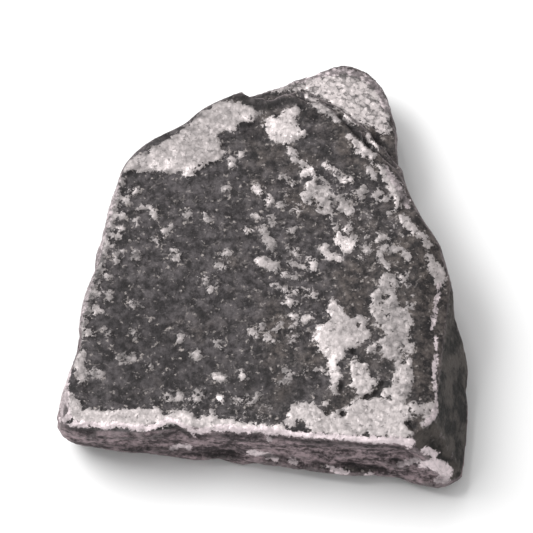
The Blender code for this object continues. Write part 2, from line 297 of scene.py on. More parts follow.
def scar_pattern(tree, place):
    """Thin curved lines, from 0 to 1, which fade in and out."""
    inputs = {"Vector": drifting(tree, place, per_mm=0.9, reach=1.1), "Scale": SCAR_CELLS}
    wall = add(tree, "ShaderNodeTexVoronoi", inputs, feature="DISTANCE_TO_EDGE").outputs["Distance"]
    dashes = ease(tree, cloud(tree, place, 3.5, detail=3.0), 0.46, 0.60)
    fading = ease(tree, cloud(tree, place, 0.6, detail=2.0), 0.48, 0.60)
    line = calc(tree, "MULTIPLY", ease(tree, wall, 0.075, 0.02), dashes)
    return calc(tree, "MULTIPLY", line, fading)


def face_masks(tree, facing_up, facing_facet):
    """Masks for the flat split faces, the worn facets and the broken edges."""
    flat = ease(tree, calc(tree, "ABSOLUTE", facing_up), *FLAT_RANGE)
    facet = ease(tree, facing_facet, *FACET_RANGE)
    broken = calc(tree, "SUBTRACT", calc(tree, "SUBTRACT", 1.0, flat), facet, clamp=True)
    return flat, facet, broken


print("sizes of flake in mm:", [round(1 / per_mm, 2) for per_mm, _ in FLAKES])

# %% [markdown]
# ## The stone's mesh
#
# The CAD chip is made of large triangles, which can't hold fine relief. A copy is merged into one skin and
# remeshed: the Remesh modifier rebuilds it from small cubes, all of one size, so relief is even everywhere.
# Sculptors do the same before they add detail. A little smoothing then takes off the cubes' steps.

# %% Copy and remesh the chip
VOXEL = 0.185 * MM
MERGE_REACH = 0.001 * MM
SMOOTH_FACTOR = 0.5
SMOOTH_TIMES = 3

cad_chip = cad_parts["slate_chip"]
bpy.ops.object.select_all(action="DESELECT")
stone = cad_chip.copy()
stone.data = cad_chip.data.copy()
stone.name = "slate_stone"
bpy.context.collection.objects.link(stone)
bpy.context.view_layer.objects.active = stone
stone.select_set(True)
bpy.ops.object.mode_set(mode="EDIT")
bpy.ops.mesh.select_all(action="SELECT")
bpy.ops.mesh.remove_doubles(threshold=MERGE_REACH)
bpy.ops.object.mode_set(mode="OBJECT")

remesh = stone.modifiers.new("even_mesh", "REMESH")
remesh.mode = "VOXEL"
remesh.voxel_size = VOXEL
remesh.use_smooth_shade = True
bpy.ops.object.modifier_apply(modifier=remesh.name)
smooth = stone.modifiers.new("soften_steps", "SMOOTH")
smooth.factor = SMOOTH_FACTOR
smooth.iterations = SMOOTH_TIMES
bpy.ops.object.modifier_apply(modifier=smooth.name)
count = len(stone.data.vertices)
places = np.empty(count * 3)
stone.data.vertices.foreach_get("co", places)
places = places.reshape(-1, 3) / MM
print("stone faces:", len(stone.data.polygons), "size in mm:", [round(v / MM, 2) for v in stone.dimensions])

# %% [markdown]
# ## Painting with strokes
#
# The photo shows where the silver skin is left, which rims are worn pale, and where a layer has come loose.
# Noise alone would put these anywhere, so each is drawn as a brush stroke, and the result is kept as a number
# on each point of the mesh, as weight painting would give. A stroke is a run of points, each with its place
# and its radius in millimetres, so a stroke can swell and taper. The noise then tears its border.
#
# The strokes are drawn as seen from the camera, on a level sheet at the top of the stone. A point further
# down shows lower in the view, so each point is first slid along the line of sight up to the sheet. The photo
# doesn't show the back and the underside. Points there face away from the camera, and take the strokes of the
# top turned over, left for right, so the underside has the same kind of patches, but not the same picture.


# %% Brush
SHEET_HEIGHT = 7.0
SHEET_SCALE = 1.03
SHEET_SHIFT = (0.25, 0.48)
HIDDEN_BELOW = -0.2
NOWHERE = -1e9

normals = np.empty(count * 3)
stone.data.vertex_normals.foreach_get("vector", normals)
hidden = normals.reshape(-1, 3) @ np.array(towards_camera) < HIDDEN_BELOW
turn = np.array((
    (math.cos(VIEW_AZIMUTH), -math.sin(VIEW_AZIMUTH)),
    (math.sin(VIEW_AZIMUTH), math.cos(VIEW_AZIMUTH)),
))
seen = places[:, :2] @ turn
seen[:, 1] -= (SHEET_HEIGHT - places[:, 2]) / math.tan(VIEW_ELEVATION)
seen[hidden] = places[hidden, :2] * (-1, 1)
seen = seen * SHEET_SCALE + SHEET_SHIFT
print("points on the stone:", count, "hidden in the photo:", int(hidden.sum()))


def depth_in_stroke(stroke):
    """How deep each point lies inside a stroke of (x, y, radius), in mm. Outside it is below zero."""
    deepest = np.full(count, NOWHERE)
    spots = [np.array(spot, dtype=float) for spot in stroke]
    for spot in spots:
        deepest = np.maximum(deepest, spot[2] - np.linalg.norm(seen - spot[:2], axis=1))
    for start, end in zip(spots, spots[1:]):
        along = (end - start)[:2]
        share = np.clip((seen - start[:2]) @ along / (along @ along), 0, 1)
        on_line = start + share[:, None] * (end - start)
        depth = on_line[:, 2] - np.linalg.norm(seen - on_line[:, :2], axis=1)
        deepest = np.maximum(deepest, depth)
    return deepest


def softly(depth, slope):
    """One inside a stroke, zero outside, and a slope between them."""
    return np.clip(0.5 + slope * depth, 0, 1)


def keep_on_points(name, values):
    """Keeps a number on each point of the stone, for the relief and the material to read."""
    made = stone.data.attributes.new(name, "FLOAT", "POINT")
    made.data.foreach_set("value", values)
    print(name, "from", round(float(values.min()), 2), "to", round(float(values.max()), 2),
          "mean", round(float(values.mean()), 2))


# %% [markdown]
# ## Where the silver skin is left
#
# The skin is left in a strip along the back left edge, on the lobe at the back, in patches and islands on the
# right, and along the rims. Each stroke has a share of silver and a tone. A share near one gives solid skin,
# and one near a half gives torn scraps. A tone of zero is dull grey and one is nearly white. Later strokes
# paint over the tone of earlier ones.
#
# An island is a flake of skin on its own, given as its place, radius and tone. It is drawn as a short stroke
# that is narrow at one end, and each is turned on from the last, so no two lie alike. Bare strokes keep the
# silver out, and shade strokes only change the tone of the stone under it.

# %% Skin at the back
BACK_SKIN = {
    "strip": (0.96, 0.38, [(-12.3, 8.7, 0.5), (-10.6, 9.1, 0.85), (-8.8, 9.6, 1.5), (-7.0, 10.2, 2.0),
                           (-5.6, 11.4, 2.0), (-4.6, 12.9, 1.6), (-3.2, 14.0, 1.4), (-1.4, 14.1, 0.7),
                           (-0.4, 13.9, 0.3)]),
    "strip_tip": (0.90, 0.65, [(-6.7, 8.3, 0.6)]),
    "strip_finger": (0.85, 0.50, [(-4.6, 9.9, 0.8), (-3.6, 10.3, 0.3)]),
    "strip_white_right": (0.9, 0.95, [(-1.8, 13.8, 0.25), (-1.1, 13.3, 0.25)]),
    "strip_white_middle": (0.9, 0.75, [(-3.5, 12.5, 0.3), (-2.6, 12.4, 0.3)]),
    "strip_white_left": (0.9, 0.85, [(-8.9, 9.3, 0.25), (-7.9, 8.4, 0.3)]),
    "strip_white_low": (0.9, 0.80, [(-6.9, 7.7, 0.25), (-5.3, 9.0, 0.25)]),
    "strip_white_edge": (0.9, 0.70, [(-9.9, 9.6, 0.2), (-9.2, 8.4, 0.2)]),
    "back_patch": (1.0, 0.58, [(0.9, 12.9, 0.95), (1.7, 12.3, 1.3), (2.4, 12.2, 1.1)]),
    "back_patch_top": (0.95, 0.55, [(2.2, 13.6, 0.8), (2.8, 14.4, 0.5)]),
    "back_patch_left": (0.95, 0.56, [(0.7, 13.1, 0.75)]),
    "back_patch_nub": (0.92, 0.80, [(3.4, 12.1, 0.4)]),
    "lobe_left": (0.80, 0.32, [(0.9, 16.6, 0.3), (2.4, 17.0, 0.4), (3.3, 16.8, 0.5)]),
    "lobe": (0.97, 0.80, [(4.4, 17.1, 0.8), (6.2, 16.8, 1.6), (8.0, 16.2, 2.2), (9.4, 15.0, 1.9),
                          (10.3, 13.6, 1.1), (10.9, 12.5, 0.5)]),
    "lobe_lip": (0.85, 0.30, [(3.8, 15.9, 0.3), (5.0, 14.9, 0.45), (6.8, 13.5, 0.4)]),
    "lobe_streak": (0.95, 0.98, [(7.3, 14.1, 0.28), (8.5, 13.2, 0.3)]),
    "lobe_streak_low": (0.95, 0.92, [(9.2, 11.9, 0.25), (10.1, 10.7, 0.2)]),
    "lobe_white": (0.95, 0.95, [(6.9, 15.8, 0.35), (7.0, 15.2, 0.3)]),
    "arc_under_patch": (0.86, 0.42, [(2.5, 10.3, 0.35), (2.7, 9.5, 0.35), (3.5, 9.0, 0.35)]),
    "arc_patch": (0.92, 0.62, [(3.9, 8.0, 0.65), (4.3, 8.7, 0.25)]),
    "arc_right": (0.86, 0.60, [(5.4, 8.9, 0.25), (6.2, 8.4, 0.33), (6.7, 7.7, 0.33)]),
    "ledge_lip": (0.78, 0.48, [(7.6, 11.7, 0.25), (8.3, 11.0, 0.45), (9.0, 10.2, 0.4), (9.7, 9.8, 0.35)]),
    "ledge_end": (0.78, 0.45, [(9.5, 8.7, 0.28), (9.8, 7.7, 0.35)]),
    "shoulder_top": (0.80, 0.50, [(10.3, 8.7, 0.35), (10.9, 7.9, 0.4), (11.3, 7.0, 0.5),
                                  (11.8, 5.4, 0.4)]),
    "shoulder_ring": (0.88, 0.75, [(11.9, 5.6, 0.28), (12.0, 4.6, 0.28), (11.2, 4.1, 0.3)]),
    "shoulder": (0.92, 0.50, [(12.2, 3.7, 0.35), (12.8, 2.8, 0.5), (13.5, 2.2, 0.4), (14.2, 1.6, 0.3),
                              (14.6, 0.8, 0.3)]),
    "shoulder_end": (0.93, 0.50, [(14.8, -0.4, 0.35), (15.1, -1.3, 0.6), (15.6, -2.3, 0.6),
                                  (15.6, -3.1, 0.4)]),
}

# %% Skin in the middle and on the right
MIDDLE_SKIN = {
    "cluster_top": (0.93, 0.80, [(4.3, 6.7, 0.5), (5.3, 6.3, 0.6), (5.1, 5.5, 0.55)]),
    "cluster_tail": (0.90, 0.74, [(5.1, 5.4, 0.5), (5.9, 4.2, 0.4)]),
    "cluster_right": (0.90, 0.76, [(6.8, 5.6, 0.4), (7.1, 5.0, 0.5), (7.5, 4.3, 0.5)]),
    "cluster_middle": (0.88, 0.68, [(5.9, 6.0, 0.35), (6.6, 5.5, 0.35)]),
    "cluster_field": (0.56, 0.55, [(4.6, 6.9, 0.9), (5.8, 5.2, 1.3), (7.0, 4.9, 0.9)]),
    "cluster_left": (0.82, 0.45, [(3.7, 5.8, 0.45)]),
    "left_wedge": (0.93, 0.80, [(0.0, 2.9, 0.2), (0.0, 2.1, 0.4), (0.6, 1.2, 0.5), (0.7, 0.6, 0.35)]),
    "wedge": (0.90, 0.75, [(2.6, 2.3, 0.38), (3.2, 2.7, 0.15)]),
    "square_patch": (0.95, 0.70, [(-0.1, -0.9, 0.6), (0.9, -1.2, 0.65)]),
    "square_patch_right": (0.88, 0.72, [(2.2, -0.9, 0.28), (3.0, -1.2, 0.4), (3.5, -1.4, 0.3)]),
    "square_patch_far": (0.88, 0.70, [(4.2, -0.6, 0.33), (4.4, -1.4, 0.38)]),
    "square_patch_low": (0.80, 0.42, [(1.9, -2.0, 0.25), (2.8, -2.3, 0.33)]),
    "right_island": (0.93, 0.65, [(6.7, 2.1, 0.25), (6.7, 1.4, 0.5), (7.5, 0.8, 0.75), (8.0, 1.2, 0.4)]),
    "right_island_left": (0.90, 0.58, [(5.4, 0.4, 0.4), (5.7, -0.2, 0.45), (6.6, -0.5, 0.35)]),
    "ring": (0.86, 0.42, [(10.9, 0.7, 0.3), (10.4, 0.1, 0.45), (10.4, -0.7, 0.4), (11.0, -1.2, 0.3)]),
    "ring_right": (0.86, 0.55, [(11.4, 0.5, 0.35), (12.2, 0.4, 0.33), (12.7, -0.3, 0.4), (12.8, -0.8, 0.3)]),
    "column_field": (0.71, 0.38, [(11.2, -2.6, 0.6), (11.3, -4.5, 1.3), (11.6, -6.6, 1.4), (11.6, -8.4, 1.2),
                                  (11.2, -9.8, 0.8)]),
    "column": (0.92, 0.70, [(10.9, -2.4, 0.55), (10.7, -3.2, 0.6), (10.0, -4.2, 0.45), (9.9, -5.4, 0.5),
                            (10.4, -6.5, 0.6)]),
    "column_middle": (0.88, 0.62, [(11.2, -4.4, 0.45), (11.3, -5.4, 0.45), (11.6, -6.5, 0.55)]),
    "column_right": (0.93, 0.82, [(12.4, -5.8, 0.45), (12.5, -7.0, 0.5), (11.7, -8.0, 0.65)]),
    "column_left": (0.90, 0.75, [(10.0, -7.2, 0.35)]),
    "column_foot": (0.90, 0.82, [(10.6, -8.8, 0.45), (11.3, -9.5, 0.35)]),
    "column_foot_left": (0.86, 0.52, [(9.7, -9.3, 0.45)]),
    "column_foot_right": (0.84, 0.42, [(12.7, -9.2, 0.6)]),
    "large_patch_spike": (1.0, 0.58, [(6.0, -4.9, 0.38), (6.3, -5.7, 0.65), (6.8, -6.6, 0.8)]),
    "large_patch": (1.10, 0.60, [(4.9, -8.4, 0.7), (5.9, -8.0, 1.3), (7.2, -8.2, 1.3), (8.4, -8.3, 0.7)]),
    "large_patch_right": (0.95, 0.42, [(7.6, -7.2, 0.8), (8.6, -6.9, 0.6), (8.7, -8.2, 0.6)]),
    "large_patch_low": (1.0, 0.60, [(5.9, -9.2, 1.1), (6.4, -10.1, 0.85), (6.0, -11.0, 0.6)]),
    "large_patch_tail": (0.97, 0.50, [(6.1, -11.2, 0.5), (6.4, -12.3, 0.6), (6.3, -13.4, 0.4)]),
    "second_patch": (1.0, 0.52, [(7.9, -10.7, 0.5), (8.4, -11.5, 0.85), (8.6, -12.6, 1.05),
                                 (8.8, -13.3, 0.7)]),
    "second_patch_right": (0.90, 0.58, [(9.6, -12.6, 0.45)]),
    "lower_column_field": (0.68, 0.38, [(12.2, -10.6, 0.8), (12.3, -12.6, 0.9), (11.8, -14.2, 0.8)]),
    "lower_column": (0.92, 0.60, [(11.9, -10.9, 0.4), (12.2, -12.2, 0.45)]),
    "lower_column_left": (0.86, 0.48, [(10.5, -13.8, 0.45), (11.4, -13.4, 0.45),
                                       (11.7, -14.4, 0.6)]),
}

# %% Skin along the front and the left
FRONT_SKIN = {
    "field_left": (1.0, 0.52, [(2.4, -16.5, 0.55), (3.0, -15.5, 0.75), (3.9, -15.5, 0.85),
                               (4.6, -16.4, 1.0)]),
    "field_knob": (0.90, 0.60, [(5.4, -14.8, 0.3)]),
    "field": (1.05, 0.52, [(4.6, -16.7, 1.0), (6.6, -16.7, 1.2), (8.4, -16.2, 1.6), (10.2, -16.5, 1.4),
                           (12.0, -17.1, 1.1)]),
    "field_back": (0.95, 0.50, [(8.5, -14.9, 0.7), (10.6, -14.9, 0.8), (11.8, -15.6, 1.0)]),
    "field_end": (0.88, 0.52, [(12.9, -14.9, 0.45), (13.4, -15.5, 0.4), (14.9, -14.9, 0.4),
                               (14.9, -15.8, 0.35), (14.1, -16.7, 0.35)]),
    "band": (1.0, 0.58, [(-15.9, -16.1, 0.75), (-13.5, -16.2, 0.85), (-11.0, -16.2, 1.0), (-9.7, -16.0, 0.85),
                          (-8.3, -16.1, 0.75), (-7.2, -16.2, 0.85), (-6.0, -16.9, 0.8), (-4.5, -16.6, 0.7),
                          (-3.3, -16.8, 0.6), (-1.5, -17.1, 0.45), (1.4, -17.2, 0.45)]),
    "band_spike": (0.92, 0.58, [(-4.5, -15.6, 0.25)]),
    "left_corner": (0.90, 0.38, [(-17.0, -14.0, 0.35), (-16.5, -15.4, 0.7)]),
    "left_column": (0.86, 0.32, [(-16.8, -9.6, 0.35), (-16.1, -10.0, 0.45), (-16.2, -11.2, 0.55),
                                 (-16.0, -12.2, 0.5)]),
    "left_rim": (0.62, 0.10, [(-12.8, 7.4, 0.35), (-13.3, 5.0, 0.3), (-14.3, 0.0, 0.35), (-15.5, -5.5, 0.35),
                              (-16.6, -9.0, 0.4)]),
    "front_scatter": (0.34, 0.30, [(-9.0, -14.4, 0.8), (-4.5, -14.8, 0.8), (0.5, -15.4, 0.8)]),
    "middle_scatter": (0.30, 0.30, [(1.4, 6.4, 1.6), (1.6, 1.0, 2.0), (2.2, -4.5, 1.4), (3.3, -6.6, 1.3)]),
    "right_scatter": (0.34, 0.30, [(6.0, 6.0, 2.0), (9.6, 3.4, 2.4), (11.5, -3.6, 1.8), (10.6, -10.9, 1.4)]),
}

# %% Islands and bare spots
ISLANDS = [
    (7.4, 7.3, 0.40, 0.9), (-0.3, 6.2, 0.45, 0.9), (0.5, 5.5, 0.35, 0.75), (3.0, 4.4, 0.35, 0.8),
    (-1.3, 2.2, 0.25, 0.8), (-0.6, 3.7, 0.30, 0.6), (0.7, 3.2, 0.30, 0.4), (3.0, 0.2, 0.28, 0.6),
    (1.6, 7.5, 0.35, 0.2), (2.3, 7.2, 0.35, 0.2), (1.5, 4.9, 0.28, 0.25), (7.4, 2.6, 0.33, 0.5),
    (10.4, 1.6, 0.33, 0.4), (6.3, 2.7, 0.22, 0.5), (9.1, 0.4, 0.28, 0.3), (8.8, 6.3, 0.28, 0.35),
    (10.1, 5.9, 0.30, 0.3), (11.0, 5.3, 0.28, 0.35), (7.7, 5.9, 0.22, 0.4), (12.2, -2.6, 0.35, 0.7),
    (13.4, -5.2, 0.28, 0.2), (1.0, -3.1, 0.30, 0.6), (2.0, -3.8, 0.28, 0.5), (2.2, -4.7, 0.36, 0.9),
    (3.0, -3.8, 0.24, 0.4), (4.0, -3.7, 0.32, 0.6), (4.4, -4.1, 0.24, 0.5), (2.6, -6.6, 0.38, 0.7),
    (3.0, -6.2, 0.28, 0.6), (3.8, -6.5, 0.40, 0.8), (0.6, -8.6, 0.40, 0.65), (-0.1, -7.3, 0.25, 0.3),
    (1.2, -7.2, 0.25, 0.35), (2.6, -8.6, 0.28, 0.2), (4.9, -11.5, 0.30, 0.6), (2.3, -11.7, 0.30, 0.35),
    (3.6, -11.7, 0.28, 0.2), (1.7, -12.7, 0.30, 0.2), (-3.9, -12.3, 0.45, 0.7), (-1.9, -11.9, 0.35, 0.8),
    (-3.9, -14.6, 0.45, 1.0), (-7.3, -14.2, 0.30, 0.5), (-6.2, -14.4, 0.35, 0.5), (-5.5, -13.7, 0.35, 0.3),
    (-1.3, -14.4, 0.33, 0.3), (-0.6, -14.1, 0.33, 0.35), (-2.3, -14.4, 0.28, 0.2), (-8.4, -14.1, 0.25, 0.2),
    (-5.9, -10.2, 0.36, 0.6), (-12.5, -10.3, 0.33, 0.2), (-11.6, -10.4, 0.33, 0.35),
    (-14.6, -11.9, 0.28, 0.2), (-9.9, -11.0, 0.25, 0.2), (-7.3, -8.4, 0.36, 0.3), (-3.7, -8.9, 0.28, 0.2),
    (-1.1, -7.8, 0.30, 0.3),
    (-5.1, -2.9, 0.33, 0.25), (-4.6, -3.5, 0.30, 0.25), (-3.5, -0.1, 0.30, 0.35), (-3.8, -1.3, 0.25, 0.25),
    (-5.0, 3.6, 0.28, 0.2), (-6.8, 3.9, 0.30, 0.2), (-8.5, 2.4, 0.33, 0.3), (-9.6, 1.4, 0.28, 0.2),
    (-3.3, 6.4, 0.33, 0.2), (-2.9, 9.2, 0.30, 0.8), (-2.1, 9.8, 0.25, 0.55), (-11.3, -5.1, 0.28, 0.2),
    (-11.4, -7.9, 0.33, 0.1), (-7.9, -0.2, 0.33, 0.1), (-11.4, -0.2, 0.28, 0.1), (-11.7, 6.3, 0.38, 0.5),
    (-12.3, 5.3, 0.33, 0.35), (-12.6, 3.8, 0.38, 0.5), (-13.3, 3.7, 0.28, 0.5), (-10.9, 4.5, 0.30, 0.6),
    (-10.1, 4.5, 0.28, 0.4), (-9.8, 3.8, 0.28, 0.3), (-11.4, 3.2, 0.33, 0.5), (-13.0, 2.4, 0.38, 0.7),
    (-13.3, 1.8, 0.36, 0.4), (-13.9, 1.2, 0.38, 0.5), (-13.0, -0.3, 0.33, 0.15), (-14.5, -1.2, 0.36, 0.5),
    (-13.7, -2.3, 0.30, 0.25), (-14.7, -4.0, 0.38, 0.3), (-13.6, -4.2, 0.30, 0.2), (-14.7, -5.8, 0.35, 0.5),
    (-15.3, -7.8, 0.30, 0.5), (-14.0, -7.7, 0.28, 0.25),
]
BARE_STROKES = {
    "notch": [(-0.7, 15.2, 0.3), (0.4, 14.9, 0.6), (1.3, 15.4, 0.5), (2.2, 16.1, 0.35), (3.3, 15.6, 0.4)],
    "patch_side": [(3.4, 14.0, 0.3), (3.4, 13.2, 0.3), (5.0, 12.4, 0.7)],
    "beside_patch": [(4.8, 11.2, 0.9), (6.4, 11.4, 0.9), (7.6, 9.4, 0.9)],
    "cluster_gap": [(3.5, 7.3, 0.35), (4.3, 7.5, 0.2)],
    "strip_bay": [(-3.5, 11.7, 0.5), (-3.0, 10.9, 0.55)],
    "strip_bay_right": [(-2.3, 12.2, 0.3)],
    "pit_left": [(-10.6, 3.8, 0.4)],
    "field_pit": [(5.6, -15.7, 0.26)],
    "field_pit_right": [(6.85, -15.7, 0.28)],
    "field_corner": [(12.7, -16.6, 0.35), (13.1, -17.1, 0.35)],
    "band_notch": [(-8.6, -15.6, 0.33)],
    "tail_side": [(6.95, -12.8, 0.3), (6.7, -13.7, 0.22)],
    "patch_corner": [(7.9, -9.7, 0.35), (7.3, -10.5, 0.2), (6.8, -10.9, 0.2)],
    "second_patch_foot": [(8.8, -14.15, 0.2), (9.8, -13.9, 0.2), (10.5, -12.7, 0.2)],
    "second_patch_side": [(7.4, -12.3, 0.25)],
    "column_spots": [(10.8, -4.3, 0.28)],
    "column_bay": [(12.0, -3.8, 0.4), (12.3, -5.0, 0.25)],
    "column_gap": [(9.3, -7.3, 0.3), (10.5, -8.0, 0.28)],
    "ring_middle": [(11.3, -0.5, 0.22), (12.3, -0.6, 0.22)],
    "shoulder_hole": [(11.2, 4.9, 0.28)],
    "patch_hole": [(8.4, -7.1, 0.2)],
    "roll_off": [(13.9, -3.4, 0.6), (14.0, -9.0, 0.7), (13.9, -13.4, 0.6)],
}
SHADE_STROKES = {
    "low_left": (0.10, [(-11.0, -8.0, 3.0), (-9.0, -12.0, 3.0), (1.0, -13.0, 2.0)]),
}

# %% Paint the skin
BARE_BIAS = 0.16
PLAIN_TONE = 0.30
TONE_SLOPE = 2.0
SHADE_SOFTNESS = 4
SKIN_START = 0.5
BORDER_SLOPE = 0.80
ISLAND_START = 0.58
ISLAND_SLOPE = 0.60
ISLAND_SHARE = 0.85
ISLAND_TURN = math.radians(137)
ISLAND_REACH = 0.7
ISLAND_NARROW = 0.30
ISLAND_WIDE = 0.62
BARE_START = 0.44
BARE_SLOPE = BORDER_SLOPE * 1.6

bias = np.full(count, BARE_BIAS)
tone = np.full(count, PLAIN_TONE)


def paint_skin(depth, start, slope, share):
    """Raises the share of silver inside a stroke, with a sloping border for the noise to tear."""
    bias[:] = np.maximum(bias, np.minimum(start + slope * depth, share))


def paint_tone(depth, value):
    """Lays a tone over the tones that are there, with a soft border."""
    cover = softly(depth, TONE_SLOPE)
    tone[:] = tone * (1 - cover) + value * cover


for value, stroke in SHADE_STROKES.values():
    paint_tone(depth_in_stroke(stroke) / SHADE_SOFTNESS, value)
for share, value, stroke in [*BACK_SKIN.values(), *MIDDLE_SKIN.values(), *FRONT_SKIN.values()]:
    depth = depth_in_stroke(stroke)
    paint_skin(depth, SKIN_START, BORDER_SLOPE, share)
    paint_tone(depth, value)
for number, (x, y, radius, value) in enumerate(ISLANDS):
    angle = number * ISLAND_TURN
    reach = np.array((math.cos(angle), math.sin(angle))) * radius * ISLAND_REACH
    narrow_end = (x - reach[0], y - reach[1], radius * ISLAND_NARROW)
    wide_end = (x + reach[0], y + reach[1], radius * ISLAND_WIDE)
    depth = depth_in_stroke([narrow_end, wide_end])
    paint_skin(depth, ISLAND_START, ISLAND_SLOPE, ISLAND_SHARE)
    paint_tone(depth, value)
for stroke in BARE_STROKES.values():
    most = np.maximum(BARE_START - BARE_SLOPE * depth_in_stroke(stroke), 0.0)
    bias[:] = np.minimum(bias, most)
keep_on_points("skin_bias", bias)

# %% [markdown]
# ## Pale rims, painted shade in crevices and the granular lobe
#
# The front rim has been knocked until the stone is crushed to a pale, pinkish line, and so have the ridge on
# the right, the lowest front corner and a few ledges of the front. Each rim stroke has the tone of its line.
# Along the back ledge the top layer has come loose. Crevice strokes paint shade into such places and under
# the front rim, and crack strokes paint the same shade and are also cut into the stone by the relief. The
# skin on the lobe is coarser than on the patches.

# %% Rim, crevice-shade and grain strokes
RIM_STROKES = {
    "front_line_left": (0.72, [(-17.0, -16.8, 0.3), (-15.2, -16.8, 0.25), (-14.0, -17.0, 0.3),
                               (-12.8, -16.8, 0.22), (-11.2, -17.2, 0.3), (-9.9, -17.1, 0.28),
                               (-8.7, -16.7, 0.28), (-8.2, -16.4, 0.2), (-7.0, -16.9, 0.2),
                               (-6.0, -17.6, 0.3), (-4.8, -17.3, 0.3), (-2.8, -17.1, 0.3),
                               (-2.0, -17.4, 0.3), (-0.5, -17.2, 0.3), (1.0, -17.5, 0.35)]),
    "front_line": (0.92, [(1.0, -17.5, 0.35), (3.0, -17.75, 0.28), (7.0, -18.0, 0.28), (9.2, -18.3, 0.35),
                          (11.6, -18.3, 0.35), (12.8, -18.5, 0.45)]),
    "front_line_end": (0.95, [(12.7, -18.8, 0.33)]),
    "ridge_back": (0.38, [(15.5, -3.2, 0.16), (15.2, -5.2, 0.16), (14.9, -7.3, 0.20)]),
    "ridge": (0.42, [(15.1, -8.3, 0.12), (15.2, -10.0, 0.06), (15.0, -10.9, 0.18), (15.0, -12.4, 0.18),
                     (15.1, -13.6, 0.10), (15.1, -14.9, 0.20), (14.9, -15.9, 0.22), (14.1, -16.9, 0.22)]),
    "shoulder_wall": (0.12, [(10.9, 8.6, 0.2), (11.7, 7.3, 0.35), (12.3, 6.0, 0.3), (12.9, 4.7, 0.2)]),
    "lump_top": (0.80, [(14.2, -19.4, 0.42), (15.0, -19.7, 0.33)]),
    "lump": (0.88, [(13.9, -20.8, 0.33), (14.8, -20.7, 0.55), (15.6, -21.1, 0.65), (16.1, -21.6, 0.55)]),
    "lump_foot": (0.40, [(15.3, -22.4, 0.3), (16.1, -22.4, 0.35)]),
    "streak_left": (0.80, [(-1.2, -19.6, 0.25), (0.0, -19.8, 0.3), (1.0, -20.3, 0.28)]),
    "streak_knob": (0.55, [(0.5, -18.2, 0.28)]),
    "streak_far_left": (0.60, [(-8.1, -19.2, 0.24), (-7.2, -18.9, 0.2), (-6.6, -19.2, 0.24)]),
    "streak_middle": (0.45, [(2.4, -20.4, 0.3), (2.9, -20.8, 0.2)]),
    "streak_right": (0.70, [(5.7, -21.1, 0.22), (6.5, -21.5, 0.33), (7.4, -21.6, 0.25)]),
    "streak_foot": (0.65, [(8.8, -22.1, 0.25), (9.4, -21.8, 0.3)]),
    "streak_dim": (0.20, [(11.9, -20.8, 0.25), (13.3, -20.3, 0.28)]),
    "lobe_edge": (0.10, [(0.6, 16.7, 0.2), (2.2, 17.3, 0.3), (4.5, 18.0, 0.35), (7.4, 18.6, 0.4)]),
    "lobe_edge_right": (0.0, [(7.4, 18.6, 0.35), (9.2, 17.9, 0.35), (10.4, 16.6, 0.3), (11.1, 14.5, 0.3)]),
    "left_edge": (0.15, [(-12.9, 8.0, 0.25), (-13.6, 4.4, 0.22), (-15.2, -2.0, 0.2), (-16.0, -5.6, 0.25),
                         (-17.2, -10.0, 0.3)]),
    "left_edge_front": (0.30, [(-17.2, -10.0, 0.3), (-17.5, -14.0, 0.4), (-17.4, -16.2, 0.5)]),
}
# Painted shade: these strokes darken the colour where shadow falls, in notches, under ledges and rims, at the
# foot of the front and beside the lump.
CREVICE_SHADE_STROKES = {
    "notch": (0.72, [(-1.8, 15.4, 0.2), (-0.7, 14.8, 0.35), (0.6, 14.8, 0.4), (1.7, 15.4, 0.35),
                     (2.9, 15.3, 0.3), (3.7, 14.4, 0.25)]),
    "notch_right": (0.60, [(3.4, 14.1, 0.22), (3.3, 13.3, 0.22)]),
    "strip_edge": (0.75, [(-9.6, 11.5, 0.2), (-8.6, 12.2, 0.22)]),
    "strip_edge_middle": (0.55, [(-6.4, 13.6, 0.2), (-5.6, 13.9, 0.22)]),
    "strip_edge_right": (0.80, [(-3.0, 15.8, 0.25), (-1.5, 15.7, 0.28)]),
    "strip_spots": (0.35, [(-7.1, 12.6, 0.3), (-6.4, 12.5, 0.25)]),
    "under_line_left": (0.60, [(-17.2, -17.2, 0.2), (-14.8, -17.5, 0.25)]),
    "under_line_dip": (0.70, [(-8.2, -16.95, 0.2), (-6.9, -17.6, 0.22), (-6.4, -18.0, 0.15)]),
    "under_line_middle": (0.65, [(-5.3, -17.9, 0.15), (-0.6, -17.95, 0.18)]),
    "under_line": (0.75, [(0.6, -18.0, 0.2), (2.6, -18.25, 0.15), (3.8, -18.6, 0.18), (7.2, -18.6, 0.22),
                          (11.6, -19.0, 0.15)]),
    "left_foot": (0.55, [(-14.5, -18.9, 0.2), (-9.5, -19.4, 0.35), (-6.0, -19.7, 0.35), (-2.0, -20.2, 0.25)]),
    "low_spot": (0.70, [(9.3, -21.3, 0.28)]),
    "beside_lump": (0.75, [(15.3, -20.0, 0.15), (16.3, -20.4, 0.22)]),
}
# Cracks are cut into the stone, and their strokes also darken the colour with painted shade.
CRACK_STROKES = {
    "ledge_crack": (0.95, [(6.9, 13.9, 0.16), (7.6, 13.1, 0.26), (8.4, 12.2, 0.30), (9.3, 11.2, 0.22),
                           (10.0, 10.4, 0.12)]),
    "ledge_crack_right": (0.85, [(9.9, 12.0, 0.12), (10.4, 11.3, 0.24), (10.9, 10.7, 0.15)]),
    "field_pit": (0.85, [(5.6, -15.7, 0.16)]),
    "field_pit_right": (0.90, [(6.85, -15.5, 0.16), (6.9, -15.9, 0.14)]),
    "field_corner": (0.80, [(12.7, -16.5, 0.18), (13.1, -17.1, 0.22)]),
    "tail_side": (0.70, [(6.95, -12.8, 0.2), (6.7, -13.7, 0.12)]),
    "patch_corner": (0.75, [(7.9, -9.7, 0.22)]),
    "second_patch_foot": (0.75, [(8.8, -14.15, 0.12), (9.8, -13.9, 0.12), (10.5, -12.7, 0.12)]),
    "field_back": (0.75, [(12.7, -13.9, 0.15), (13.4, -14.4, 0.12)]),
}
